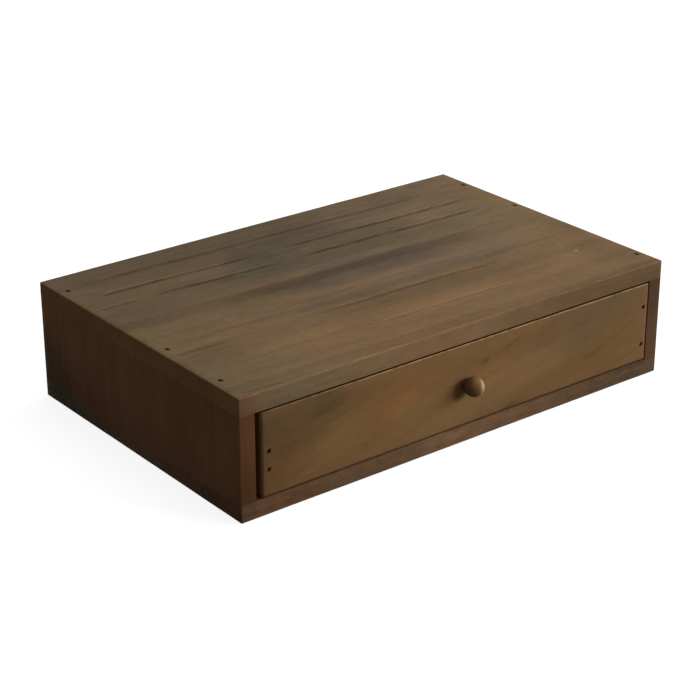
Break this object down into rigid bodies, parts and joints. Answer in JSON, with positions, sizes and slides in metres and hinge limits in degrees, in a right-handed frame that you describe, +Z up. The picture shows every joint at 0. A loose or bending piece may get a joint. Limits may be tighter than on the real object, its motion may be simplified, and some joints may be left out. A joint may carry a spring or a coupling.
{
  "type": "memo pad holder with drawer",
  "caption": "Flat nailed wooden desk chest with one full-width drawer and a turned knob; holds memo pads and pens, and its top is a shelf.",
  "frame": {"origin": "middle of the case's underside, on the surface that it stands on", "axes": "+X to the right as seen from the front, -Y out of the drawer front, +Z up"},
  "size_m": [0.34, 0.2334, 0.08],
  "materials": {
    "stained_board": "brown stain, open grain, satin",
    "stained_end_board": "reddish brown stain, open grain, satin",
    "stained_panel": "brown stain, matt",
    "stained_drawer_front": "brown stain, open grain, satin",
    "drawer_wood": "thin brown stain, matt",
    "drawer_plywood": "thin brown stain, matt",
    "turned_knob_wood": "brown stain, satin",
    "nail_steel": "dark, dull",
    "screw_steel": "zinc plated"
  },
  "bodies": {
    "case": {"top_board": "stained_board", "bottom_board": "stained_board", "left_side": "stained_end_board", "right_side": "stained_end_board", "back_panel": "stained_panel", "top_nails_left": "nail_steel", "top_nails_right": "nail_steel", "bottom_nails_left": "nail_steel", "bottom_nails_right": "nail_steel", "back_nails_left": "nail_steel", "back_nails_right": "nail_steel"},
    "drawer": {"drawer_front": "stained_drawer_front", "drawer_left_side": "drawer_wood", "drawer_right_side": "drawer_wood", "drawer_back": "drawer_wood", "drawer_bottom": "drawer_plywood", "front_nails_left": "nail_steel", "front_nails_right": "nail_steel", "drawer_back_nails_left": "nail_steel", "drawer_back_nails_right": "nail_steel", "drawer_bottom_brads": "nail_steel", "knob": "turned_knob_wood", "knob_screw": "screw_steel"}
  },
  "joints": [
    {"name": "drawer_slide", "type": "slide", "parent": "case", "child": "drawer", "axis": [0, -1, 0], "range_m": [0, 0.16]}
  ]
}
